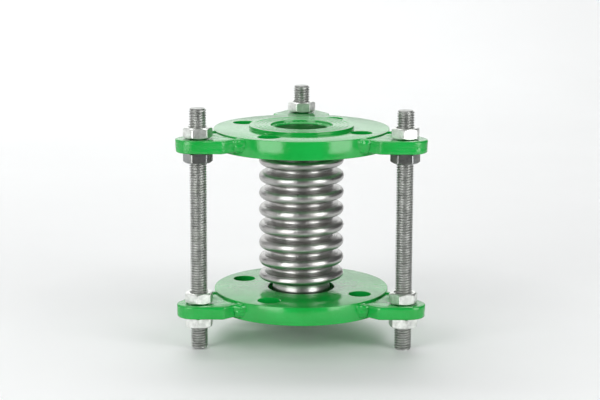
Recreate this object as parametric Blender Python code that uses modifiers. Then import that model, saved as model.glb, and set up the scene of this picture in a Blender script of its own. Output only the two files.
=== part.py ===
"""Tied metal bellows expansion joint for a DN50 pipe.

Two plate flanges carry a convoluted stainless bellows between them.  Three lugs are
welded to the rim of each flange, and three threaded rods pass through the lugs.  Each
rod carries four hex nuts, one on each side of each lug, which set the joint's length.

The frame: +Z runs up the pipe axis, and the origin lies on that axis midway between the
two raised faces.  Units are metres.
"""
import math

import bmesh
import bpy

# ---------------------------------------------------------------- driving dimensions
GAP = 0.0003                    # clearance between pieces that touch
SEAM = 0.00001                  # merge distance for seams and caps

# flanges: a DN50 plate flange with a raised face on its outer side
FLANGE_R = 0.0825
RIM_THICKNESS = 0.017
RIM_OUTER_Z = 0.085             # from mid-length to the rim's outer face
RIM_CHAMFER = 0.0006
RAISED_FACE_R = 0.0492
RAISED_FACE_H = 0.003
BORE_R = 0.0289
BORE_CHAMFER = 0.001
RECESS_R = 0.0315               # clearance recess round the cuff, on the inner side
RECESS_DEPTH = 0.006
BOLT_CIRCLE_R = 0.0625
BOLT_HOLE_R = 0.0103
BOLT_COUNT = 4
BOLT_TURN = math.radians(61.5)  # the first bolt hole, measured from +X
FLANGE_STEPS = 40
HOLE_SIDES = 16                 # of every drilled hole

# bellows: one convoluted shell with a straight cuff at each end
CONVOLUTIONS = 8
PITCH = 0.01577
CREST_R = 0.040
ROOT_R = 0.0293
CREST_ARC_R = 0.0056            # the crest's own radius, in section
BELLOWS_WALL = 0.001
CUFF_R = 0.0268
CUFF_END_Z = 0.0840
CUFF_BLEND = 0.0020             # length of the step from the last root down to the cuff
CREST_SEGMENTS = 5
ROOT_SEGMENTS = 3
END_ROOT_SEGMENTS = 2           # of the quarter roots beside the cuffs
BELLOWS_STEPS = 20

# seal weld between the cuff's end and the flange bore
SEAL_INNER_R = 0.0258
SEAL_HEIGHT = 0.0022
SEAL_ARC_SEGMENTS = 2

# tie rods, M16
ROD_COUNT = 3
ROD_FIRST_ANGLE = math.radians(90)
ROD_CIRCLE_R = 0.1089
ROD_R = 0.0079
ROD_LENGTH = 0.2236
ROD_MIDDLES_Z = (-0.0018, -0.0006, -0.0021)    # each rod stands a little differently in its nuts
ROD_CHAMFER = 0.0013
ROD_STEPS = 16

# lugs: cut from 12 mm plate and welded to the rim
LUG_THICKNESS = 0.012
UPPER_LUG_DROP = 0.0012         # each lug's upper face lies this far below its rim's
LOWER_LUG_DROP = 0.0020
LUG_TIP_R = 0.1305              # from the pipe axis to the tip of the rounded nose
LUG_NOSE_R = 0.0165
LUG_FLANK_ANGLE = math.radians(30)    # between the lug's axis and the flanks beside the nose
LUG_HALF_WIDTH = 0.028          # at the shoulders, where the flanks end
LUG_SHOULDER_R = 0.008
LUG_ROOT_HALF_WIDTH = 0.024     # where it meets the rim
LUG_HOLE_R = 0.009
LUG_EDGE_BEVEL = 0.0012
LUG_BEVEL_LIMIT = math.radians(60)    # only edges sharper than this are bevelled
LUG_NOSE_SEGMENTS = 6
LUG_SHOULDER_SEGMENTS = 3
LUG_ROOT_SEGMENTS = 6

# fillet welds in the corners between a lug and the rim
WELD_LEG = 0.0080
WELD_BULGE = 0.0012
WELD_SEGMENTS = 3

# hex nuts, 24 mm across flats
NUT_FLATS = 0.024
NUT_HEIGHT = 0.010
NUT_BORE_R = 0.0083
NUT_CHAMFER_ANGLE = math.radians(30)
NUT_CHAMFER_R = 0.0114          # radius of the flat ring left on each end
NUT_BLANK_MARGIN = 0.001        # the turned blank is this much larger than the hexagon's corners
NUT_STEPS = 18
# how far each nut is turned about its rod, in degrees, for rods 1, 2 and 3
NUT_TURNS = {
    "upper_outer_nut": (7.5, 12.0, 20.0),
    "upper_inner_nut": (25.0, 8.5, 57.0),
    "lower_inner_nut": (50.0, 25.0, 14.0),
    "lower_outer_nut": (33.0, 27.0, 40.0),
}

# ---------------------------------------------------------------- derived dimensions
RIM_INNER_Z = RIM_OUTER_Z - RIM_THICKNESS
ROD_ANGLES = [ROD_FIRST_ANGLE + i * math.tau / ROD_COUNT for i in range(ROD_COUNT)]
UPPER_LUG_TOP = RIM_OUTER_Z - UPPER_LUG_DROP
LOWER_LUG_TOP = -RIM_INNER_Z - LOWER_LUG_DROP
NUT_CORNER_R = NUT_FLATS / math.sqrt(3)


# ---------------------------------------------------------------- helpers
def clear_scene():
    """Remove every object and collection that the file opened with."""
    for obj in list(bpy.data.objects):
        bpy.data.objects.remove(obj)
    for collection in list(bpy.data.collections):
        bpy.data.collections.remove(collection)


def make_collection(name):
    collection = bpy.data.collections.new(name)
    bpy.context.scene.collection.children.link(collection)
    return collection


def make_material(name, colour, roughness, metallic):
    material = bpy.data.materials.new(name)
    material.use_nodes = True
    shader = material.node_tree.nodes["Principled BSDF"]
    shader.inputs["Base Color"].default_value = (*colour, 1.0)
    shader.inputs["Roughness"].default_value = roughness
    shader.inputs["Metallic"].default_value = metallic
    return material


def make_object(name, data, collection, material=None):
    obj = bpy.data.objects.new(name, data)
    collection.objects.link(obj)
    if material is not None and not data.materials:
        data.materials.append(material)
    return obj


def polar(radius, angle):
    return radius * math.cos(angle), radius * math.sin(angle)


def arc(centre, radius, start, end, segments):
    """Points along an arc, both ends included, angles in radians."""
    points = []
    for i in range(segments + 1):
        x, y = polar(radius, start + (end - start) * i / segments)
        points.append((centre[0] + x, centre[1] + y))
    return points


def profile_mesh(name, points, closed):
    """A chain of edges in the XZ plane, from (radius, z) points."""
    mesh = bpy.data.meshes.new(name)
    edges = [(i, i + 1) for i in range(len(points) - 1)]
    if closed:
        edges.append((len(points) - 1, 0))
    mesh.from_pydata([(r, 0.0, z) for r, z in points], edges, [])
    return mesh


def add_screw(obj, steps):
    screw = obj.modifiers.new("Turn", "SCREW")
    screw.axis = "Z"
    screw.angle = math.tau
    screw.steps = steps
    screw.render_steps = steps
    screw.use_merge_vertices = True
    screw.merge_threshold = SEAM
    screw.use_smooth_shade = True
    return screw


def add_cut(obj, cutter, operation="DIFFERENCE"):
    cut = obj.modifiers.new("Cut " + cutter.name, "BOOLEAN")
    cut.operation = operation
    cut.object = cutter
    cut.solver = "EXACT"


def hide_cutter(obj):
    obj.hide_render = True
    obj.display_type = "WIRE"
    return obj


def make_cylinder(name, radius, depth, sides, collection, location=(0.0, 0.0, 0.0)):
    """A closed cylinder along Z, centred on its location."""
    mesh = bpy.data.meshes.new(name)
    shape = bmesh.new()
    bmesh.ops.create_cone(shape, cap_ends=True, segments=sides, radius1=radius, radius2=radius, depth=depth)
    shape.to_mesh(mesh)
    shape.free()
    obj = make_object(name, mesh, collection)
    obj.location = location
    return obj


def plate_mesh(name, outline, thickness):
    """A flat plate from a closed 2D outline, centred on z = 0."""
    curve = bpy.data.curves.new(name, "CURVE")
    curve.dimensions = "2D"
    curve.fill_mode = "BOTH"
    curve.extrude = thickness / 2
    spline = curve.splines.new("POLY")
    spline.points.add(len(outline) - 1)
    for point, (x, y) in zip(spline.points, outline):
        point.co = (x, y, 0.0, 1.0)
    spline.use_cyclic_u = True
    holder = bpy.data.objects.new(name, curve)
    bpy.context.scene.collection.objects.link(holder)
    graph = bpy.context.evaluated_depsgraph_get()
    mesh = bpy.data.meshes.new_from_object(holder.evaluated_get(graph))
    bpy.data.objects.remove(holder)
    shape = bmesh.new()
    shape.from_mesh(mesh)
    bmesh.ops.remove_doubles(shape, verts=shape.verts, dist=SEAM)
    bmesh.ops.recalc_face_normals(shape, faces=shape.faces)
    shape.to_mesh(mesh)
    shape.free()
    mesh.name = name
    return mesh


# ---------------------------------------------------------------- flanges
def flange_profile():
    """Section of the upper flange, down its outer side and back up through the bore."""
    face_z = RIM_OUTER_Z + RAISED_FACE_H
    recess_z = RIM_INNER_Z + RECESS_DEPTH
    return [
        (BORE_R + BORE_CHAMFER, face_z),
        (RAISED_FACE_R, face_z),
        (RAISED_FACE_R, RIM_OUTER_Z),
        (FLANGE_R - RIM_CHAMFER, RIM_OUTER_Z),
        (FLANGE_R, RIM_OUTER_Z - RIM_CHAMFER),
        (FLANGE_R, RIM_INNER_Z + RIM_CHAMFER),
        (FLANGE_R - RIM_CHAMFER, RIM_INNER_Z),
        (RECESS_R, RIM_INNER_Z),
        (RECESS_R, recess_z),
        (BORE_R, recess_z),
        (BORE_R, face_z - BORE_CHAMFER),
    ]


def build_flange(name, side, parts, cutters, material):
    """One flange; side is +1 for the upper one and -1 for the lower, turned over."""
    flange = make_object(name, profile_mesh(name, flange_profile(), closed=True), parts, material)
    add_screw(flange, FLANGE_STEPS)
    for i in range(BOLT_COUNT):
        x, y = polar(BOLT_CIRCLE_R, side * BOLT_TURN + i * math.tau / BOLT_COUNT)
        place = (x, y, (RIM_OUTER_Z + RIM_INNER_Z) / 2)
        drill_name = f"{name}_drill_{i + 1}"
        drill = make_cylinder(drill_name, BOLT_HOLE_R, 2 * RIM_THICKNESS, HOLE_SIDES, cutters, place)
        hide_cutter(drill)
        drill.parent = flange
        add_cut(flange, drill)
    flange.rotation_euler = (0.0 if side > 0 else math.pi, 0.0, 0.0)
    return flange


# ---------------------------------------------------------------- bellows
def bellows_profile():
    """The outer surface, from the upper cuff's end down to the lower cuff's end."""
    root_arc_r = PITCH / 2 - CREST_ARC_R
    crest_x = CREST_R - CREST_ARC_R
    root_x = ROOT_R + root_arc_r
    half_length = CONVOLUTIONS * PITCH / 2
    quarter = math.pi / 2
    points = [(CUFF_R, CUFF_END_Z), (CUFF_R, half_length + root_arc_r + CUFF_BLEND)]
    # the upper cuff opens into the first convolution through a quarter of a root arc
    points += arc((root_x, half_length + root_arc_r), root_arc_r, 2 * quarter, 3 * quarter, END_ROOT_SEGMENTS)
    for i in range(CONVOLUTIONS):
        crest_z = half_length - PITCH * (i + 0.5)
        points += arc((crest_x, crest_z), CREST_ARC_R, quarter, -quarter, CREST_SEGMENTS)
        if i < CONVOLUTIONS - 1:
            root_z = crest_z - PITCH / 2
            points += arc((root_x, root_z), root_arc_r, quarter, 3 * quarter, ROOT_SEGMENTS)
    points += arc((root_x, -half_length - root_arc_r), root_arc_r, quarter, 2 * quarter, END_ROOT_SEGMENTS)
    points += [(CUFF_R, -half_length - root_arc_r - CUFF_BLEND), (CUFF_R, -CUFF_END_Z)]
    return points


def build_bellows(parts, material):
    profile = profile_mesh("bellows", bellows_profile(), closed=False)
    bellows = make_object("bellows", profile, parts, material)
    add_screw(bellows, BELLOWS_STEPS)
    wall = bellows.modifiers.new("Wall", "SOLIDIFY")
    wall.thickness = BELLOWS_WALL
    wall.offset = -1.0
    wall.use_even_offset = True
    return bellows


def build_seal_weld(name, side, parts, material):
    """The bead that closes the gap between the cuff's end and the flange bore."""
    base_z = CUFF_END_Z + GAP
    outer_r = BORE_R - GAP
    width = outer_r - SEAL_INNER_R
    steps = [i / SEAL_ARC_SEGMENTS for i in range(SEAL_ARC_SEGMENTS + 1)]
    # the bead's face falls from the bore wall to the cuff's inner edge in a quarter wave
    face = [(SEAL_INNER_R + width * t, base_z + SEAL_HEIGHT * math.sin(t * math.pi / 2)) for t in steps[1:]]
    points = face + [(outer_r, base_z), (SEAL_INNER_R, base_z)]
    bead = make_object(name, profile_mesh(name, points, closed=True), parts, material)
    add_screw(bead, FLANGE_STEPS)
    bead.rotation_euler = (0.0 if side > 0 else math.pi, 0.0, 0.0)
    return bead


# ---------------------------------------------------------------- tie rods
def build_rod(name, angle, middle_z, parts, material):
    """A round bar with a chamfer at each end, its thread at full diameter."""
    half = ROD_LENGTH / 2
    points = [
        (0.0, half),
        (ROD_R - ROD_CHAMFER, half),
        (ROD_R, half - ROD_CHAMFER),
        (ROD_R, -half + ROD_CHAMFER),
        (ROD_R - ROD_CHAMFER, -half),
        (0.0, -half),
    ]
    rod = make_object(name, profile_mesh(name, points, closed=False), parts, material)
    add_screw(rod, ROD_STEPS)
    x, y = polar(ROD_CIRCLE_R, angle)
    rod.location = (x, y, middle_z)
    return rod


# ---------------------------------------------------------------- lugs
def shoulder_centre():
    """Centre of the arc that joins the lug's +Y flank to its side."""
    y = LUG_HALF_WIDTH - LUG_SHOULDER_R
    across = math.pi / 2 - LUG_FLANK_ANGLE    # direction of the flank's outward normal
    reach = LUG_NOSE_R - LUG_SHOULDER_R - y * math.sin(across)
    return LUG_TIP_R - LUG_NOSE_R + reach / math.cos(across), y


def weld_fillet():
    """The bead at the lug's +Y root corner, from its side round to the rim, bulging out."""
    root_r = FLANGE_R + GAP
    root_angle = math.asin(LUG_ROOT_HALF_WIDTH / root_r)
    corner_x, corner_y = polar(root_r, root_angle)
    slope = math.atan2(LUG_HALF_WIDTH - LUG_ROOT_HALF_WIDTH, shoulder_centre()[0] - corner_x)
    side_x = corner_x + WELD_LEG * math.cos(slope)
    side_y = corner_y + WELD_LEG * math.sin(slope)
    rim_x, rim_y = polar(root_r, root_angle + WELD_LEG / root_r)
    length = math.hypot(rim_x - side_x, rim_y - side_y)
    points = []
    for i in range(WELD_SEGMENTS + 1):
        t = i / WELD_SEGMENTS
        bulge = WELD_BULGE * math.sin(t * math.pi) / length
        x = side_x + (rim_x - side_x) * t + bulge * (rim_y - side_y)
        y = side_y + (rim_y - side_y) * t - bulge * (rim_x - side_x)
        points.append((x, y))
    return points


def lug_outline():
    """The lug seen from above, pointing along +X, its root and both welds on the rim."""
    quarter = math.pi / 2
    across = quarter - LUG_FLANK_ANGLE
    nose = arc((LUG_TIP_R - LUG_NOSE_R, 0.0), LUG_NOSE_R, -across, across, LUG_NOSE_SEGMENTS)
    shoulder = arc(shoulder_centre(), LUG_SHOULDER_R, across, quarter, LUG_SHOULDER_SEGMENTS)
    side = shoulder + weld_fillet()
    end_angle = math.atan2(side[-1][1], side[-1][0])
    root = arc((0.0, 0.0), FLANGE_R + GAP, end_angle, -end_angle, LUG_ROOT_SEGMENTS)
    return nose + side[:-1] + root + [(x, -y) for x, y in reversed(side[:-1])]


def build_lug_mesh():
    """The plate with rounded long edges, before its rod hole is cut."""
    return plate_mesh("lug", lug_outline(), LUG_THICKNESS)


def build_lug(name, mesh, angle, top_z, parts, cutters, material):
    lug = make_object(name, mesh.copy(), parts, material)
    edge = lug.modifiers.new("Edge", "BEVEL")
    edge.width = LUG_EDGE_BEVEL
    edge.segments = 1
    edge.limit_method = "ANGLE"
    edge.angle_limit = LUG_BEVEL_LIMIT
    lug.location = (0.0, 0.0, top_z - LUG_THICKNESS / 2)
    lug.rotation_euler = (0.0, 0.0, angle)
    place = (ROD_CIRCLE_R, 0.0, 0.0)
    drill = make_cylinder(name + "_drill", LUG_HOLE_R, 2 * LUG_THICKNESS, HOLE_SIDES, cutters, place)
    hide_cutter(drill)
    drill.parent = lug
    add_cut(lug, drill)
    return lug


# ---------------------------------------------------------------- nuts
def nut_envelope_profile():
    """A turned blank whose 30 degree cones chamfer the corners of the hexagon."""
    corner_r = NUT_CORNER_R + NUT_BLANK_MARGIN
    half = NUT_HEIGHT / 2
    drop = (corner_r - NUT_CHAMFER_R) * math.tan(NUT_CHAMFER_ANGLE)
    return [(0.0, half), (NUT_CHAMFER_R, half), (corner_r, half - drop),
            (corner_r, -half + drop), (NUT_CHAMFER_R, -half), (0.0, -half)]


def build_nut_mesh(cutters):
    """One hex nut along Z, centred on its own middle: prism, chamfers and bore."""
    prism = make_cylinder("nut_prism", NUT_CORNER_R, NUT_HEIGHT, 6, cutters)
    blank = make_object("nut_blank", profile_mesh("nut_blank", nut_envelope_profile(), closed=False), cutters)
    add_screw(blank, NUT_STEPS)
    bore = make_cylinder("nut_bore", NUT_BORE_R, 2 * NUT_HEIGHT, NUT_STEPS, cutters)
    add_cut(prism, blank, "INTERSECT")
    add_cut(prism, bore)
    graph = bpy.context.evaluated_depsgraph_get()
    mesh = bpy.data.meshes.new_from_object(prism.evaluated_get(graph))
    mesh.name = "hex_nut"
    mesh.materials.clear()
    for helper in (prism, blank, bore):
        bpy.data.objects.remove(helper)
    return mesh


def build_nuts(mesh, parts, material):
    """Four nuts on each rod, seated on both faces of both lugs."""
    mesh.materials.append(material)
    half = NUT_HEIGHT / 2 + GAP
    middles = {
        "upper_outer_nut": UPPER_LUG_TOP + half,
        "upper_inner_nut": UPPER_LUG_TOP - LUG_THICKNESS - half,
        "lower_inner_nut": LOWER_LUG_TOP + half,
        "lower_outer_nut": LOWER_LUG_TOP - LUG_THICKNESS - half,
    }
    for kind, middle in middles.items():
        for i, angle in enumerate(ROD_ANGLES):
            nut = make_object(f"{kind}_{i + 1}", mesh, parts)
            nut.location = (*polar(ROD_CIRCLE_R, angle), middle)
            nut.rotation_euler = (0.0, 0.0, math.radians(NUT_TURNS[kind][i]))


# ---------------------------------------------------------------- assembly
def main():
    clear_scene()
    parts = make_collection("tied_bellows_expansion_joint")
    cutters = make_collection("cutters")
    paint = make_material("green_enamel", (0.012, 0.42, 0.07), 0.22, 0.0)
    stainless = make_material("stainless_steel", (0.58, 0.57, 0.55), 0.24, 1.0)
    zinc = make_material("zinc_plated_steel", (0.62, 0.63, 0.60), 0.42, 1.0)

    for i, (angle, middle_z) in enumerate(zip(ROD_ANGLES, ROD_MIDDLES_Z)):
        build_rod(f"tie_rod_{i + 1}", angle, middle_z, parts, zinc)

    lug_mesh = build_lug_mesh()
    for end, side, lug_top in (("upper", 1, UPPER_LUG_TOP), ("lower", -1, LOWER_LUG_TOP)):
        build_flange(end + "_flange", side, parts, cutters, paint)
        build_seal_weld(end + "_seal_weld", side, parts, paint)
        for i, angle in enumerate(ROD_ANGLES):
            build_lug(f"{end}_lug_{i + 1}", lug_mesh, angle, lug_top, parts, cutters, paint)
    bpy.data.meshes.remove(lug_mesh)

    build_bellows(parts, stainless)
    build_nuts(build_nut_mesh(cutters), parts, zinc)


main()
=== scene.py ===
"""Looks of the tied metal bellows expansion joint: threads, nuts, welds, enamel, steel."""
import math

import bmesh
import bpy
from mathutils import Matrix, Vector, noise


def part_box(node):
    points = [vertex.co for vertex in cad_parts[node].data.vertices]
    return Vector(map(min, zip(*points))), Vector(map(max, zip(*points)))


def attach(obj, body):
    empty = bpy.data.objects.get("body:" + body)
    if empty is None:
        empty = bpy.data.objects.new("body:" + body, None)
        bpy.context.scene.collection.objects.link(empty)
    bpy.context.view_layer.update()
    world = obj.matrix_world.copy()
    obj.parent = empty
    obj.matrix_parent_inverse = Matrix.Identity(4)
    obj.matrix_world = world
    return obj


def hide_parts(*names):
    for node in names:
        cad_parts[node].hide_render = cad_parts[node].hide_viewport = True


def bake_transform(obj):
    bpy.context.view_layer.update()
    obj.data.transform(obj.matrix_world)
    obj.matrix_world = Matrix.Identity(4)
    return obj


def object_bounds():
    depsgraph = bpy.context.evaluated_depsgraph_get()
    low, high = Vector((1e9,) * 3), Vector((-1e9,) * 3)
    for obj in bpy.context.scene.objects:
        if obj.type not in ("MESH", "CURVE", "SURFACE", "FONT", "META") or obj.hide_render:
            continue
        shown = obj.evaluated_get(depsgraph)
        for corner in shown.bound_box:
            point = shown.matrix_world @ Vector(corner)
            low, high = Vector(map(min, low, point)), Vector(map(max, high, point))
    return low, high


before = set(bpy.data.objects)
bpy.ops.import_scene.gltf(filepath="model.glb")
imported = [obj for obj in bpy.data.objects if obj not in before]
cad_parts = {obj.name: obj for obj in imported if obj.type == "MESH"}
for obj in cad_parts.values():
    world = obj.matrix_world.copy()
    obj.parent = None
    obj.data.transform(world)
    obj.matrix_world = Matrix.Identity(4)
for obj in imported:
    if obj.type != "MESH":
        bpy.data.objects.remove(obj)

CAD_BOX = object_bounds()

# ---------------------------------------------------------------- sizes, metres
ENDS = {"upper": 1, "lower": -1}
RODS = (1, 2, 3)

RAISED_FACE_R = 0.0492
RAISED_FACE_H = 0.003
BORE_R = 0.0289
RECESS_R = 0.0315
RECESS_DEPTH = 0.006
SEAL_INNER_R = 0.0258
BOLT_CIRCLE_R = 0.0625
BOLT_HOLE_R = 0.0103
BOLT_TURN = math.radians(61.5)
GROOVE_RADII = (0.0335, 0.0370, 0.0405, 0.0440)
GROOVE_HALF_WIDTH = 0.00045
GROOVE_DEPTH = 0.0003

CONVOLUTIONS = 8
PITCH = 0.01577
CREST_R = 0.040
ROOT_R = 0.0293
CREST_ARC_R = 0.0052
END_CREST_H = 0.0034            # the last crest is pressed flatter beside the cuff
BELLOWS_WALL = 0.001
CUFF_R = 0.0268
CUFF_FLARE = 0.0006             # how much wider the cuff is at the flange's mouth
CUFF_NECK = 0.0008              # and how much slimmer beside the last crest
TILT_TOP = 0.006               # slope across the view of the highest convolution
TILT_BOTTOM = 0.030            # and of the lowest

THREAD_PITCH = 0.00236
THREAD_DEPTH = 0.0014
ROD_CHAMFER = 0.0013

LUG_TIP_R = 0.1305
LUG_NOSE_R = 0.0165
LUG_FLANK_ANGLE = math.radians(30)
LUG_HALF_WIDTH = 0.028
LUG_SHOULDER_R = 0.008
LUG_ROOT_HALF_WIDTH = 0.024
LUG_HOLE_R = 0.009
LUG_EDGE_R = 0.0012
LUG_SEAM = 0.0003               # the dark line between a lug's root and the rim
LUG_POINT_STEP = 0.0015
ROOT_TOLERANCE = 0.0004         # points this near the root's arc are left as cut
WELD_LEG = 0.0084
WELD_BULGE = 0.0016
WELD_RIPPLE = 0.00030
WELD_LUMP = 0.0016
WELD_OVERRUN = 0.0011           # how far a bead runs past the plate's faces
WELD_SUNK = 0.003               # how far its back line lies inside the corner

NUT_FLATS = 0.024
NUT_BORE_R = 0.00815
NUT_CHAMFER_R = 0.0114
NUT_TURNS = {
    "upper_outer_nut": (7.5, 12.0, 20.0),
    "upper_inner_nut": (25.0, 8.5, 57.0),
    "lower_inner_nut": (50.0, 25.0, 14.0),
    "lower_outer_nut": (33.0, 27.0, 40.0),
}

# ---------------------------------------------------------------- camera and room
CAMERA_TARGET = Vector((-0.0013, 0.0, 0.0157))
CAMERA_DISTANCE = 1.6956
CAMERA_ELEVATION = math.radians(11.387)
CAMERA_ROLL = math.radians(0.155)
CAMERA_LENS = 107.65            # millimetres, on a 36 mm wide sensor


# ---------------------------------------------------------------- material nodes
class Nodes:
    """A small helper that builds one material's node tree."""

    def __init__(self, name, **constants):
        self.material = bpy.data.materials.new(name)
        self.material.use_nodes = True
        self.tree = self.material.node_tree
        self.shader = self.tree.nodes["Principled BSDF"]
        for key, value in constants.items():
            self.shader.inputs[key.replace("_", " ")].default_value = value
        self.place = self.add("ShaderNodeTexCoord").outputs["Object"]

    def add(self, kind, **settings):
        node = self.tree.nodes.new(kind)
        for key, value in settings.items():
            setattr(node, key, value)
        return node

    def link(self, source, target):
        self.tree.links.new(source, target)
        return source

    def noise(self, scale, detail=3.0, vector=None, roughness=0.55, distortion=0.0):
        node = self.add("ShaderNodeTexNoise")
        node.inputs["Scale"].default_value = scale
        node.inputs["Detail"].default_value = detail
        node.inputs["Roughness"].default_value = roughness
        node.inputs["Distortion"].default_value = distortion
        self.link(vector or self.place, node.inputs["Vector"])
        return node.outputs["Fac"]

    def stretch(self, scale):
        """The object's coordinates, scaled by a different amount along each axis."""
        node = self.add("ShaderNodeVectorMath", operation="MULTIPLY")
        self.link(self.place, node.inputs[0])
        node.inputs[1].default_value = scale
        return node.outputs["Vector"]

    def turned(self, radial, axial, around):
        """Coordinates that vary fast with radius and height and slowly round the pipe axis."""
        split = self.add("ShaderNodeSeparateXYZ")
        self.link(self.place, split.inputs[0])
        flat = self.stretch((1.0, 1.0, 0.0))
        length = self.add("ShaderNodeVectorMath", operation="LENGTH")
        self.link(flat, length.inputs[0])
        angle = self.math("ARCTAN2", split.outputs["Y"], split.outputs["X"])
        join = self.add("ShaderNodeCombineXYZ")
        self.link(self.math("MULTIPLY", length.outputs["Value"], radial), join.inputs["X"])
        self.link(self.math("MULTIPLY", angle, around), join.inputs["Y"])
        self.link(self.math("MULTIPLY", split.outputs["Z"], axial), join.inputs["Z"])
        return join.outputs["Vector"]

    def math(self, operation, a, b=0.0):
        node = self.add("ShaderNodeMath", operation=operation)
        for socket, value in zip(node.inputs, (a, b)):
            if isinstance(value, (int, float)):
                socket.default_value = value
            else:
                self.link(value, socket)
        return node.outputs["Value"]

    def spread(self, value, low, high, out_low=0.0, out_high=1.0):
        node = self.add("ShaderNodeMapRange")
        node.inputs["From Min"].default_value = low
        node.inputs["From Max"].default_value = high
        node.inputs["To Min"].default_value = out_low
        node.inputs["To Max"].default_value = out_high
        self.link(value, node.inputs["Value"])
        return node.outputs["Result"]

    def mix(self, fac, a, b):
        node = self.add("ShaderNodeMix", data_type="RGBA")
        self.link(fac, node.inputs["Factor"])
        for socket, value in ((node.inputs["A"], a), (node.inputs["B"], b)):
            if isinstance(value, tuple):
                socket.default_value = (*value, 1.0)
            else:
                self.link(value, socket)
        return node.outputs["Result"]

    def bump(self, height, distance, strength=1.0, normal=None):
        node = self.add("ShaderNodeBump")
        node.inputs["Distance"].default_value = distance
        node.inputs["Strength"].default_value = strength
        self.link(height, node.inputs["Height"])
        if normal is not None:
            self.link(normal, node.inputs["Normal"])
        return node.outputs["Normal"]

    def finish(self, colour=None, roughness=None, normal=None):
        for key, value in (("Base Color", colour), ("Roughness", roughness), ("Normal", normal)):
            if value is not None:
                self.link(value, self.shader.inputs[key])
        return self.material


def enamel_material(name, turned_lines, ripple, streaks=0.0):
    """Thick glossy green enamel: orange peel, lighter specks, turned lines or cutting streaks."""
    n = Nodes(name, Metallic=0.0, IOR=1.62)
    cloud = n.spread(n.noise(38.0, 4.0), 0.35, 0.65)
    colour = n.mix(cloud, (0.003, 0.350, 0.042), (0.006, 0.405, 0.058))
    speck = n.spread(n.noise(900.0, 2.0), 0.66, 0.74)
    colour = n.mix(speck, colour, (0.014, 0.45, 0.08))
    roughness = n.spread(n.noise(260.0, 3.0), 0.3, 0.7, 0.10, 0.20)
    peel = n.noise(620.0, 2.0)
    normal = n.bump(peel, 0.00003 * ripple)
    wave = n.noise(120.0, 2.0)
    normal = n.bump(wave, 0.00012 * ripple, normal=normal)
    if streaks:
        drag = n.noise(1.0, 3.0, vector=n.stretch((70.0, 70.0, 520.0)), distortion=0.6)
        normal = n.bump(n.spread(drag, 0.42, 0.66), 0.00022 * streaks, normal=normal)
    if turned_lines:
        lines = n.noise(1.0, 2.0, vector=n.turned(2600.0, 2600.0, 1.2))
        normal = n.bump(lines, 0.000012, normal=normal)
    return n.finish(colour, roughness, normal)


def stainless_material():
    """Formed stainless sheet: fine lines round the axis, rub marks, dark pits, and a painted
    reflection of the green bore wall inside the cuffs.
    """
    n = Nodes("stainless_sheet", Metallic=1.0, IOR=2.5)
    streak = n.noise(1.0, 4.0, vector=n.turned(1500.0, 1500.0, 2.2))
    cloud = n.noise(70.0, 4.0)
    tone = n.mix(n.spread(streak, 0.3, 0.7), (0.35, 0.347, 0.340), (0.62, 0.615, 0.602))
    tone = n.mix(n.spread(cloud, 0.42, 0.72), tone, (0.46, 0.45, 0.43))
    pits = n.spread(n.noise(1500.0, 1.0), 0.68, 0.75)
    patch = n.math("MULTIPLY", pits, n.spread(n.noise(90.0, 2.0), 0.48, 0.62))
    tone = n.mix(patch, tone, (0.20, 0.195, 0.185))
    rough = n.spread(streak, 0.25, 0.75, 0.24, 0.36)
    rough = n.math("ADD", rough, n.spread(cloud, 0.4, 0.8, 0.0, 0.10))
    normal = n.bump(streak, 0.00006)
    normal = n.bump(n.noise(420.0, 3.0), 0.00010, normal=normal)
    normal = n.bump(n.noise(130.0, 2.0), 0.00022, normal=normal)
    # painted reflection: near their ends the cuffs are coloured dark green and made non-metallic
    # inside, standing in for the green bore wall that they mirror
    split = n.add("ShaderNodeSeparateXYZ")
    n.link(n.place, split.inputs[0])
    flat = n.add("ShaderNodeVectorMath", operation="LENGTH")
    n.link(n.stretch((1.0, 1.0, 0.0)), flat.inputs[0])
    inside = n.math("LESS_THAN", flat.outputs["Value"], CUFF_R - BELLOWS_WALL / 2)
    height = n.math("ADD", n.math("ABSOLUTE", split.outputs["Z"]), n.math("MULTIPLY", cloud, 0.008))
    painted_bore_reflection = n.math("MULTIPLY", inside, n.spread(height, 0.064, 0.072))
    tone = n.mix(painted_bore_reflection, tone, (0.002, 0.19, 0.022))
    n.link(n.math("SUBTRACT", 1.0, painted_bore_reflection), n.shader.inputs["Metallic"])
    return n.finish(tone, rough, normal)


def zinc_material(name, tint, rough_low, rough_high, tone=1.0):
    """Dull electroplated zinc: cloudy tone, a faint passivation tint and fine grain."""
    n = Nodes(name, Metallic=1.0)
    cloud = n.noise(190.0, 5.0)
    greys = ((0.43, 0.44, 0.42), (0.66, 0.67, 0.65))
    dark, light = (tuple(tone * part for part in grey) for grey in greys)
    colour = n.mix(n.spread(cloud, 0.35, 0.68), dark, light)
    patina = n.spread(n.noise(75.0, 3.0), 0.45, 0.75, 0.0, 0.55)
    colour = n.mix(patina, colour, tint)
    grain = n.noise(1400.0, 3.0)
    rough = n.spread(grain, 0.3, 0.7, rough_low, rough_high)
    normal = n.bump(grain, 0.00002)
    normal = n.bump(n.noise(320.0, 3.0), 0.00008, normal=normal)
    return n.finish(colour, rough, normal)


# ---------------------------------------------------------------- mesh helpers
def link_mesh(name, mesh, material):
    mesh.materials.append(material)
    obj = bpy.data.objects.new(name, mesh)
    bpy.context.scene.collection.objects.link(obj)
    return obj


def sheet_mesh(name, rows, wrap_rows=False, wrap_columns=True):
    """Quads between rows of points; rows may close on themselves both ways."""
    row_count, column_count = len(rows), len(rows[0])
    verts = [point for row in rows for point in row]
    faces = []
    for i in range(row_count if wrap_rows else row_count - 1):
        k = (i + 1) % row_count
        for j in range(column_count if wrap_columns else column_count - 1):
            m = (j + 1) % column_count
            faces.append((i * column_count + j, i * column_count + m,
                          k * column_count + m, k * column_count + j))
    mesh = bpy.data.meshes.new(name)
    mesh.from_pydata(verts, [], faces)
    return mesh


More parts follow.
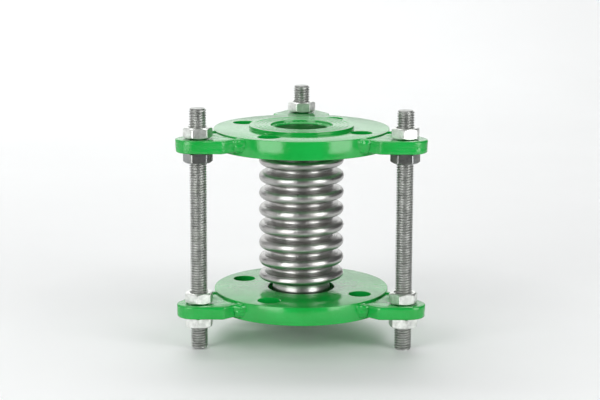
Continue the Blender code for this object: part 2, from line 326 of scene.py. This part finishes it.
def tidy_mesh(mesh, angle=35):
    """Weld doubles, point every face outward and shade smooth between sharp edges."""
    shape = bmesh.new()
    shape.from_mesh(mesh)
    bmesh.ops.remove_doubles(shape, verts=shape.verts, dist=1e-7)
    bmesh.ops.recalc_face_normals(shape, faces=shape.faces)
    shape.to_mesh(mesh)
    shape.free()
    mesh.shade_smooth()
    mesh.set_sharp_from_angle(angle=math.radians(angle))
    return mesh


def apply_modifiers(obj):
    graph = bpy.context.evaluated_depsgraph_get()
    mesh = bpy.data.meshes.new_from_object(obj.evaluated_get(graph))
    old = obj.data
    obj.modifiers.clear()
    obj.data = mesh
    bpy.data.meshes.remove(old)


def arc(centre, radius, start, end, segments):
    """Points along an arc in the plane, both ends included."""
    points = []
    for i in range(segments + 1):
        angle = start + (end - start) * i / segments
        points.append((centre[0] + radius * math.cos(angle), centre[1] + radius * math.sin(angle)))
    return points


def lathe(name, section, columns, closed=True, offset=(0.0, 0.0)):
    """Turns (radius, z) points round +Z; offset moves the axis."""
    rows = []
    for r, z in section:
        row = []
        for j in range(columns):
            angle = math.tau * j / columns
            row.append((offset[0] + r * math.cos(angle), offset[1] + r * math.sin(angle), z))
        rows.append(row)
    return sheet_mesh(name, rows, wrap_rows=closed)


def rod_axis(index):
    """The place of one rod's axis, from its CAD node."""
    low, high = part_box(f"tie_rod_{index}")
    return (low[0] + high[0]) / 2, (low[1] + high[1]) / 2


# ---------------------------------------------------------------- flanges
def flange_section(side):
    """Section of one flange with its grooves, small edge radii and stepped bore."""
    low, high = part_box("upper_flange")
    inner, face = low[2], high[2]
    outer = face - RAISED_FACE_H
    rim = high[0]
    edge = 0.0006
    points = [(BORE_R, face - 0.0012), (BORE_R + 0.0003, face - 0.0004), (BORE_R + 0.0010, face)]
    for groove in GROOVE_RADII:
        points.append((groove - GROOVE_HALF_WIDTH, face))
        points.append((groove, face - GROOVE_DEPTH))
        points.append((groove + GROOVE_HALF_WIDTH, face))
    points += [(RAISED_FACE_R - 0.0003, face), (RAISED_FACE_R, face - 0.0003)]
    points += [(RAISED_FACE_R, outer + 0.0004), (RAISED_FACE_R + 0.0004, outer)]
    points += arc((rim - edge, outer - edge), edge, math.pi / 2, 0.0, 3)
    points += arc((rim - edge, inner + edge), edge, 0.0, -math.pi / 2, 3)
    points += [(RECESS_R + 0.0004, inner), (RECESS_R, inner + 0.0004)]
    points += [(RECESS_R, inner + RECESS_DEPTH), (BORE_R, inner + RECESS_DEPTH)]
    return [(r, side * z) for r, z in points]


def drill_mesh(x, y, low, high):
    """A bolt hole's cutter, opened out at both faces for the hole's edge break."""
    lip = 0.0005
    section = [(0.0, high + 0.002), (BOLT_HOLE_R + lip, high + 0.002), (BOLT_HOLE_R + lip, high),
               (BOLT_HOLE_R, high - lip), (BOLT_HOLE_R, low + lip), (BOLT_HOLE_R + lip, low),
               (BOLT_HOLE_R + lip, low - 0.002), (0.0, low - 0.002)]
    return tidy_mesh(lathe("drill", section, 48, closed=False, offset=(x, y)))


def build_flange(end, side, material):
    plate = tidy_mesh(lathe("flange", flange_section(side), 160))
    flange = link_mesh(f"{end}_flange_plate", plate, material)
    low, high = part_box(f"{end}_flange")
    rim_low = low[2] if side > 0 else low[2] + RAISED_FACE_H
    rim_high = high[2] - RAISED_FACE_H if side > 0 else high[2]
    drills = []
    for i in range(4):
        angle = BOLT_TURN + i * math.pi / 2
        x, y = BOLT_CIRCLE_R * math.cos(angle), BOLT_CIRCLE_R * math.sin(angle)
        mesh = drill_mesh(x, y, rim_low, rim_high)
        drill = link_mesh(f"drill_{i}", mesh, material)
        cut = flange.modifiers.new("Hole", "BOOLEAN")
        cut.object = drill
        cut.solver = "EXACT"
        drills.append(drill)
    apply_modifiers(flange)
    flange.data.shade_smooth()
    flange.data.set_sharp_from_angle(angle=math.radians(35))
    for drill in drills:
        bpy.data.objects.remove(drill)
    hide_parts(f"{end}_flange")
    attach(flange, f"{end}_end")


def build_seal_weld(end, side, material):
    """A lumpy enamelled bead just inside the bore, over the end of the cuff."""
    low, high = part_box(f"{end}_seal_weld")
    base = low[2] if side > 0 else high[2]
    height = high[2] - low[2]
    inner, outer = SEAL_INNER_R, BORE_R
    rows = []
    section = [(0.0, 0.0)] + [(t / 6, math.sin(t / 6 * math.pi / 2)) for t in range(7)] + [(1.0, 0.0)]
    for u, v in section:
        row = []
        for j in range(144):
            angle = math.tau * j / 144
            lump = 0.82 + 0.16 * math.sin(angle * 47 + 1.5 * math.sin(angle * 5))
            r = inner + (outer - inner) * u
            row.append((r * math.cos(angle), r * math.sin(angle), base + side * height * v * lump))
        rows.append(row)
    ring = link_mesh(f"{end}_seal_bead", tidy_mesh(sheet_mesh("seal", rows, wrap_rows=True)), material)
    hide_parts(f"{end}_seal_weld")
    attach(ring, f"{end}_end")


# ---------------------------------------------------------------- bellows
def bellows_section():
    """The outer surface from a cuff's end to the middle root, (radius, z)."""
    root_arc_r = PITCH / 2 - CREST_ARC_R
    crest_x = CREST_R - CREST_ARC_R
    root_x = ROOT_R + root_arc_r
    half_length = CONVOLUTIONS * PITCH / 2
    cuff_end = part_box("bellows")[1][2]
    quarter = math.pi / 2
    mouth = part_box("upper_flange")[0][2]
    low_crest = half_length - PITCH / 2
    # the cuff: straight inside the flange, flared at its mouth, slimmer under the last crest
    points = [(CUFF_R, cuff_end), (CUFF_R, mouth + 0.0016), (CUFF_R + CUFF_FLARE, mouth + 0.0002)]
    points += [(CUFF_R + 0.0002, mouth - 0.0020), (CUFF_R - CUFF_NECK, half_length + 0.0002)]
    points += arc((CUFF_R + 0.0004, half_length - 0.0010), 0.0011, 2 * quarter, 3 * quarter, 4)
    points += [(crest_x + CREST_ARC_R * math.cos(angle), low_crest + END_CREST_H * math.sin(angle))
               for angle in (quarter * (1 - t / 8) for t in range(8))]
    for i in range(CONVOLUTIONS // 2):
        crest_z = half_length - PITCH * (i + 0.5)
        start, segments = (0.0, 8) if i == 0 else (quarter, 16)
        points += arc((crest_x, crest_z), CREST_ARC_R, start, -quarter, segments)
        last = i == CONVOLUTIONS // 2 - 1
        root_z = crest_z - PITCH / 2
        turns, segments = (2, 5) if last else (3, 10)
        points += arc((root_x, root_z), root_arc_r, quarter, turns * quarter, segments)
    return points


def fold_tilt(z):
    """How far the convolutions at this height lean, as a slope; none at the cuffs."""
    half_length = CONVOLUTIONS * PITCH / 2
    if abs(z) >= half_length:
        return 0.0
    slope = TILT_TOP + (TILT_BOTTOM - TILT_TOP) * (half_length - z) / (2 * half_length)
    return slope * min(1.0, (half_length - abs(z)) / (PITCH / 2))


def build_bellows(material):
    section = bellows_section()
    for end, side in ENDS.items():
        rows = []
        for r, z in section:
            row = []
            for j in range(144):
                angle = math.tau * j / 144
                place = Vector((math.cos(angle) * 1.6, math.sin(angle) * 1.6, side * z * 55.0))
                fold = min(1.0, max(0.0, (r - CUFF_R) / (CREST_R - CUFF_R)))
                stray = 0.00012 * noise.noise(place) * fold
                x, y = (r + stray) * math.cos(angle), (r + stray) * math.sin(angle)
                row.append((x, y, side * z + x * fold_tilt(side * z)))
            rows.append(row)
        mesh = sheet_mesh("bellows", rows)
        mesh = tidy_mesh(mesh, 60)
        half = link_mesh(f"bellows_{end}_half", mesh, material)
        outward = sum(p.normal.x * p.center.x + p.normal.y * p.center.y for p in mesh.polygons) > 0
        wall = half.modifiers.new("Wall", "SOLIDIFY")
        wall.thickness = BELLOWS_WALL
        wall.offset = -1.0 if outward else 1.0
        wall.use_even_offset = True
        apply_modifiers(half)
        half.data.shade_smooth()
        half.data.set_sharp_from_angle(angle=math.radians(60))
        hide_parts("bellows")
        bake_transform(half)


# ---------------------------------------------------------------- tie rods
def thread_radius(phase, crest_r):
    """Radius of the thread at a phase of 0 to 1 along one pitch: crest, flank, root, flank."""
    crest, flank = 0.16, 0.34
    phase = min(phase, 1.0 - phase)
    if phase < crest / 2:
        return crest_r
    if phase < crest / 2 + flank:
        return crest_r - THREAD_DEPTH * (phase - crest / 2) / flank
    return crest_r - THREAD_DEPTH


def build_rod(index, material):
    """A right-hand thread over the whole length, chamfered ends."""
    low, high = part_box(f"tie_rod_{index}")
    x, y = rod_axis(index)
    crest_r = (high[1] - low[1]) / 2
    columns = 40
    phases = (0.0, 0.08, 0.25, 0.42, 0.5, 0.58, 0.75, 0.92)
    turns = int((high[2] - low[2]) / THREAD_PITCH) + 3
    rows = []
    for k in range(-1, turns):
        for phase in phases:
            row = []
            for j in range(columns):
                angle = math.tau * j / columns
                z = low[2] + (k + phase + j / columns) * THREAD_PITCH
                r = thread_radius(phase, crest_r)
                end_gap = min(z - low[2], high[2] - z)
                r = min(r, crest_r - ROD_CHAMFER + max(end_gap, -0.001) * 0.9)
                row.append((x + r * math.cos(angle), y + r * math.sin(angle), z))
            rows.append(row)
    # the last column joins the first one a whole turn further on, so its faces are made apart
    verts = [point for row in rows for point in row]
    per_turn = len(phases)
    faces = []
    for i in range(len(rows) - 1):
        for j in range(columns - 1):
            a = i * columns + j
            faces.append((a, a + 1, a + 1 + columns, a + columns))
        if i + 1 + per_turn < len(rows):
            a = i * columns + columns - 1
            b = (i + per_turn) * columns
            faces.append((a, b, b + columns, a + columns))
    mesh = bpy.data.meshes.new("rod")
    mesh.from_pydata(verts, [], faces)
    shape = bmesh.new()
    shape.from_mesh(mesh)
    for z, clear in ((low[2], -1), (high[2], 1)):
        geometry = shape.verts[:] + shape.edges[:] + shape.faces[:]
        cut = bmesh.ops.bisect_plane(shape, geom=geometry, plane_co=(0, 0, z),
                                     plane_no=(0, 0, clear), clear_outer=True)
        edges = [item for item in cut["geom_cut"] if isinstance(item, bmesh.types.BMEdge)]
        bmesh.ops.contextual_create(shape, geom=edges)
    bmesh.ops.recalc_face_normals(shape, faces=shape.faces)
    shape.to_mesh(mesh)
    shape.free()
    mesh.shade_smooth()
    mesh.set_sharp_from_angle(angle=math.radians(40))
    rod = link_mesh(f"threaded_rod_{index}", mesh, material)
    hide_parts(f"tie_rod_{index}")
    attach(rod, "tie_rods")


# ---------------------------------------------------------------- nuts
def hex_radius(angle, flats):
    """Distance to a hexagon's side, with its corners slightly rounded."""
    corner = flats / math.sqrt(3)
    local = (angle + math.pi / 6) % (math.pi / 3) - math.pi / 6
    side = flats / 2 / math.cos(abs(local) - math.pi / 6)
    return min(side, corner - 0.00028)


def build_nut(kind, index, material):
    node = f"{kind}_{index}"
    low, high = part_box(node)
    x, y = rod_axis(index)
    middle, half = (low[2] + high[2]) / 2, (high[2] - low[2]) / 2
    flats = NUT_FLATS
    turn = math.radians(NUT_TURNS[kind][index - 1])
    columns = 144
    slope = math.tan(math.radians(30))
    sink = 0.0008

    def ring(radius, z):
        row = []
        for j in range(columns):
            angle = math.tau * j / columns
            limit = hex_radius(angle, flats)
            r = min(radius, limit) if radius is not None else limit
            row.append((x + r * math.cos(angle + turn), y + r * math.sin(angle + turn), z))
        return row

    def wall(sign, inset):
        """Where the chamfer cone meets the hexagon: low at the corners, high at the flats."""
        row = []
        for j in range(columns):
            angle = math.tau * j / columns
            r = hex_radius(angle, flats)
            drop = max(0.0, r - NUT_CHAMFER_R) * slope
            z = middle + sign * (half - drop - inset * 0.00025)
            r -= (1 - inset) * 0.00018
            row.append((x + r * math.cos(angle + turn), y + r * math.sin(angle + turn), z))
        return row

    rows = [ring(NUT_BORE_R, middle + half - sink), ring(NUT_BORE_R + sink, middle + half),
            ring(NUT_CHAMFER_R - 0.0002, middle + half), wall(1, 0), wall(1, 1),
            wall(-1, 1), wall(-1, 0), ring(NUT_CHAMFER_R - 0.0002, middle - half),
            ring(NUT_BORE_R + sink, middle - half), ring(NUT_BORE_R, middle - half + sink)]
    mesh = tidy_mesh(sheet_mesh("nut", rows, wrap_rows=True), 24)
    nut = link_mesh(f"hex_{node}", mesh, material)
    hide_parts(node)
    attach(nut, node)


# ---------------------------------------------------------------- lugs
def shoulder_centre():
    """Centre of the round shoulder at the end of the flank, in the lug's own plane."""
    y = LUG_HALF_WIDTH - LUG_SHOULDER_R
    across = math.pi / 2 - LUG_FLANK_ANGLE
    reach = LUG_NOSE_R - LUG_SHOULDER_R - y * math.sin(across)
    return LUG_TIP_R - LUG_NOSE_R + reach / math.cos(across), y


def root_corner():
    """Where the lug's side meets the rim, and the angle of that point round the pipe axis."""
    root_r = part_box("upper_flange")[1][0] + LUG_SEAM
    root_angle = math.asin(LUG_ROOT_HALF_WIDTH / root_r)
    return root_r, root_angle, (root_r * math.cos(root_angle), LUG_ROOT_HALF_WIDTH)


def with_steps(points, step):
    """The same closed outline with points added along its long straight stretches."""
    result = []
    for (ax, ay), (bx, by) in zip(points, points[1:] + points[:1]):
        count = max(1, round(math.hypot(bx - ax, by - ay) / step))
        result += [(ax + (bx - ax) * i / count, ay + (by - ay) * i / count) for i in range(count)]
    return result


def lug_outline():
    """The lug seen from above, pointing along +X: round nose, flanks, shoulders, root."""
    quarter = math.pi / 2
    across = quarter - LUG_FLANK_ANGLE
    nose = arc((LUG_TIP_R - LUG_NOSE_R, 0.0), LUG_NOSE_R, -across, across, 24)
    side = arc(shoulder_centre(), LUG_SHOULDER_R, across, quarter, 8)
    root_r, root_angle, _ = root_corner()
    root = arc((0.0, 0.0), root_r, root_angle, -root_angle, 24)
    outline = nose + side + root + [(px, -py) for px, py in reversed(side)]
    return with_steps(outline, LUG_POINT_STEP)


def build_welds(end, index, material):
    """Two lumpy fillet beads that run down the corners between a lug and the rim."""
    low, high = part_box(f"{end}_lug_{index}")
    middle, half = (low[2] + high[2]) / 2, (high[2] - low[2]) / 2 + WELD_OVERRUN
    x, y = rod_axis(index)
    turn = Matrix.Rotation(math.atan2(y, x), 3, "Z")
    _, root_angle, corner = root_corner()
    slope = math.atan2(LUG_HALF_WIDTH - LUG_ROOT_HALF_WIDTH, shoulder_centre()[0] - corner[0])
    back = (corner[0] - WELD_SUNK, corner[1] - WELD_SUNK)
    levels, columns = 26, 20
    for sign, hand in ((1, "left"), (-1, "right")):
        start = (corner[0] + WELD_LEG * math.cos(slope), corner[1] + WELD_LEG * math.sin(slope))
        finish = (corner[0] - WELD_LEG * math.sin(root_angle),
                  corner[1] + WELD_LEG * math.cos(root_angle))
        seed = Vector((index * 5.1, sign * 2.7, 9.0 if end == "upper" else 4.0))
        rows = []
        for i in range(levels + 1):
            h = -1.0 + 2.0 * i / levels
            cap = (1.0 - abs(h) ** 5) ** 0.5
            row = []
            for j in range(columns + 1):
                t = j / columns
                px = start[0] + (finish[0] - start[0]) * t
                py = start[1] + (finish[1] - start[1]) * t
                wave = WELD_RIPPLE * math.sin(h * 11.0 + 6.0 * (t - 0.5) ** 2 + index)
                lump = WELD_LUMP * noise.noise(Vector((px * 190, py * 190, h * 1.7)) + seed)
                out = (WELD_BULGE + wave + lump) * math.sin(math.pi * t)
                px += out * math.cos(root_angle + math.pi / 4)
                py += out * math.sin(root_angle + math.pi / 4)
                reach = (0.35 + 0.65 * cap) * (0.84 + 0.16 * h)
                px = back[0] + (px - back[0]) * reach
                py = back[1] + (py - back[1]) * reach
                row.append(turn @ Vector((px, sign * py, middle + half * h)))
            row.append(turn @ Vector((back[0], sign * back[1], middle + half * h)))
            rows.append(row)
        mesh = sheet_mesh("weld", rows)
        shape = bmesh.new()
        shape.from_mesh(mesh)
        bmesh.ops.holes_fill(shape, edges=shape.edges)
        shape.to_mesh(mesh)
        shape.free()
        bead = link_mesh(f"{end}_lug_weld_{index}_{hand}", tidy_mesh(mesh, 60), material)
        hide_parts(f"{end}_lug_{index}")
        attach(bead, f"{end}_end")


def build_lug(end, index, material):
    """Flame-cut plate: rounded edges, fine drag lines and a slightly uneven cut face."""
    node = f"{end}_lug_{index}"
    low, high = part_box(node)
    bottom, top = low[2], high[2]
    x, y = rod_axis(index)
    turn = math.atan2(y, x)
    outline = lug_outline()
    count = len(outline)
    seed = Vector((index * 7.3, (1 if end == "upper" else 2) * 3.1, 0.0))
    normals = []
    for i in range(count):
        ax, ay = outline[i - 1]
        bx, by = outline[(i + 1) % count]
        length = math.hypot(bx - ax, by - ay)
        normals.append(((by - ay) / length, -(bx - ax) / length))
    edge = LUG_EDGE_R
    root_r = root_corner()[0]
    thickness = top - bottom
    levels = [(0.0, -edge), (0.3 * edge, -0.3 * edge), (edge, 0.0)]
    levels += [(edge + (thickness - 2 * edge) * t / 6, 0.0) for t in range(1, 6)]
    levels += [(thickness - edge, 0.0), (thickness - 0.3 * edge, -0.3 * edge), (thickness, -edge)]
    rows = []
    for height, inset in levels:
        row = []
        for (px, py), (nx, ny) in zip(outline, normals):
            place = Vector((px * 90, py * 90, height * 140)) + seed
            drag = Vector((px * 700, py * 700, height * 60)) + seed
            rough = 0.00040 * noise.noise(place) + 0.00014 * noise.noise(drag) - 0.00040
            taper = 0.0005 * (1 - height / thickness)
            on_root = math.hypot(px, py) < root_r + ROOT_TOLERANCE
            push = 0.0 if on_root else inset + rough - taper
            row.append((px + nx * push, py + ny * push, bottom + height))
        rows.append(row)
    mesh = sheet_mesh("lug", rows)
    shape = bmesh.new()
    shape.from_mesh(mesh)
    hole_rings = []
    lip = 0.0005
    rod_x = math.hypot(x, y)
    for z, r in ((bottom, LUG_HOLE_R + lip), (bottom + lip, LUG_HOLE_R),
                 (top - lip, LUG_HOLE_R), (top, LUG_HOLE_R + lip)):
        ring = []
        for j in range(48):
            angle = math.tau * j / 48
            ring.append(shape.verts.new((rod_x + r * math.cos(angle), r * math.sin(angle), z)))
        hole_rings.append(ring)
    for a, b in zip(hole_rings, hole_rings[1:]):
        for j in range(48):
            k = (j + 1) % 48
            shape.faces.new((a[j], a[k], b[k], b[j]))
    shape.verts.ensure_lookup_table()
    shape.edges.index_update()
    last = (len(levels) - 1) * count
    for loop_start, ring in ((0, hole_rings[0]), (last, hole_rings[-1])):
        outer = [shape.verts[loop_start + i] for i in range(count)]
        edges = []
        for loop in (outer, ring):
            for a, b in zip(loop, loop[1:] + loop[:1]):
                edges.append(shape.edges.get((a, b)) or shape.edges.new((a, b)))
        bmesh.ops.triangle_fill(shape, use_beauty=True, use_dissolve=False, edges=edges)
    bmesh.ops.recalc_face_normals(shape, faces=shape.faces)
    bmesh.ops.rotate(shape, verts=shape.verts, cent=(0, 0, 0), matrix=Matrix.Rotation(turn, 3, "Z"))
    shape.to_mesh(mesh)
    shape.free()
    mesh.shade_smooth()
    mesh.set_sharp_from_angle(angle=math.radians(50))
    lug = link_mesh(f"{end}_lug_plate_{index}", mesh, material)
    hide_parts(node)
    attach(lug, f"{end}_end")


def main():
    enamel_turned = enamel_material("enamel_on_turned_steel", True, 1.0)
    enamel_cut = {"upper": enamel_material("enamel_on_upper_lugs", False, 1.6, 1.0),
                  "lower": enamel_material("enamel_on_lower_lugs", False, 4.5)}
    enamel_weld = enamel_material("enamel_on_weld", False, 2.2)
    stainless = stainless_material()
    zinc_rod = zinc_material("zinc_on_thread", (0.48, 0.50, 0.46), 0.34, 0.52, 0.85)
    zinc_nut = zinc_material("zinc_on_nut", (0.86, 0.89, 0.85), 0.30, 0.46, 1.45)
    # painted shade: a darker, bluer copy of the nut zinc for the upper inner nuts
    zinc_painted_shade = zinc_material("zinc_on_shaded_nut", (0.30, 0.34, 0.37), 0.22, 0.40, 0.62)
    for end, side in ENDS.items():
        build_flange(end, side, enamel_turned)
        build_seal_weld(end, side, enamel_weld)
        for index in RODS:
            build_lug(end, index, enamel_cut[end])
            build_welds(end, index, enamel_weld)
    build_bellows(stainless)
    for index in RODS:
        build_rod(index, zinc_rod)
        for kind in NUT_TURNS:
            # the upper inner nuts take the painted-shade copy of the nut zinc
            build_nut(kind, index, zinc_painted_shade if kind == "upper_inner_nut" else zinc_nut)


# ---------------------------------------------------------------- room, light, camera
def build_floor():
    """A pale sheet: flat under the joint, swept up behind it, glowing faintly as painted light away
    from the joint, with no glow near it.
    """
    ground = CAD_BOX[0][2]
    sweep = 0.9
    back = 1.6
    side = [(-0.42, ground), (back, ground)]
    curve = arc((0.0, 0.0), sweep, -math.pi / 2, 0.0, 24)
    side += [(back + px, ground + sweep + pz) for px, pz in curve]
    side += [(back + sweep, 4.5)]
    rows = [[(px, py, pz) for px in (-3.2, 1.1)] for py, pz in side]
    mesh = sheet_mesh("floor", rows, wrap_columns=False)
    # painted light: the floor glows, and the glow fades to nothing between 0.36 m and 0.13 m from the
    # joint
    n = Nodes("pale_sheet_painted_glow", Roughness=0.62, Emission_Strength=0.13)
    glow_distance = n.add("ShaderNodeVectorMath", operation="LENGTH")
    n.link(n.place, glow_distance.inputs[0])
    n.link(n.mix(n.spread(glow_distance.outputs["Value"], 0.13, 0.36), (0.0, 0.0, 0.0), (1.0, 1.0, 1.0)),
           n.shader.inputs["Emission Color"])
    tone = n.mix(n.spread(n.noise(3.0, 4.0), 0.3, 0.7), (0.80, 0.81, 0.81), (0.83, 0.84, 0.84))
    floor = link_mesh("floor", mesh, n.finish(tone))
    mesh.shade_smooth()


def add_light(name, size, energy, place, aim, colour=(1.0, 1.0, 1.0)):
    light = bpy.data.lights.new(name, "AREA")
    light.shape = "RECTANGLE"
    light.size, light.size_y = size
    light.energy = energy
    light.color = colour
    obj = bpy.data.objects.new(name, light)
    obj.location = place
    obj.rotation_euler = (Vector(aim) - Vector(place)).to_track_quat("-Z", "Y").to_euler()
    bpy.context.scene.collection.objects.link(obj)


def build_studio():
    """A lit backdrop, a low glow behind, a dim room in front, and a tall softbox at each side."""
    world = bpy.context.scene.world or bpy.data.worlds.new("room")
    bpy.context.scene.world = world
    world.use_nodes = True
    background = world.node_tree.nodes["Background"]
    background.inputs["Color"].default_value = (1.0, 1.0, 1.0, 1.0)
    background.inputs["Strength"].default_value = 0.11
    add_light("left_softbox", (0.95, 1.6), 18.0, (-0.96, -1.15, 0.45), (0.0, 0.0, 0.1))
    add_light("right_softbox", (0.90, 1.6), 17.0, (1.16, -0.95, 0.45), (0.0, 0.0, 0.1))
    add_light("top_softbox", (1.6, 1.6), 7.0, (0.0, 0.5, 1.9), (0.0, 0.1, 0.0))
    add_light("backdrop_wash", (3.0, 1.0), 39.5, (-0.5, 1.2, 2.4), (-0.4, 2.5, 0.8))
    add_light("left_fill", (1.6, 1.4), 5.0, (-1.8, 0.1, 0.3), (0.0, 0.0, 0.0))
    add_light("back_glow", (3.2, 0.7), 4.0, (-0.2, 2.3, 0.72), (0.0, 0.0, 0.08))


def build_camera():
    """Looks along +Y, a little down, from the side opposite the first rod."""
    back = Vector((0.0, -math.cos(CAMERA_ELEVATION), math.sin(CAMERA_ELEVATION)))
    right = Vector((1.0, 0.0, 0.0))
    basis = Matrix((right, back.cross(right), back)).transposed()
    turn = basis.to_4x4() @ Matrix.Rotation(CAMERA_ROLL, 4, "Z")
    camera = bpy.data.cameras.new("camera")
    camera.lens = CAMERA_LENS
    camera.sensor_width = 36.0
    camera.clip_start = 0.05
    obj = bpy.data.objects.new("camera", camera)
    obj.matrix_world = Matrix.Translation(CAMERA_TARGET + back * CAMERA_DISTANCE) @ turn
    bpy.context.scene.collection.objects.link(obj)
    bpy.context.scene.camera = obj


main()
build_floor()
build_studio()
build_camera()
bpy.context.scene.view_settings.view_transform = "Standard"
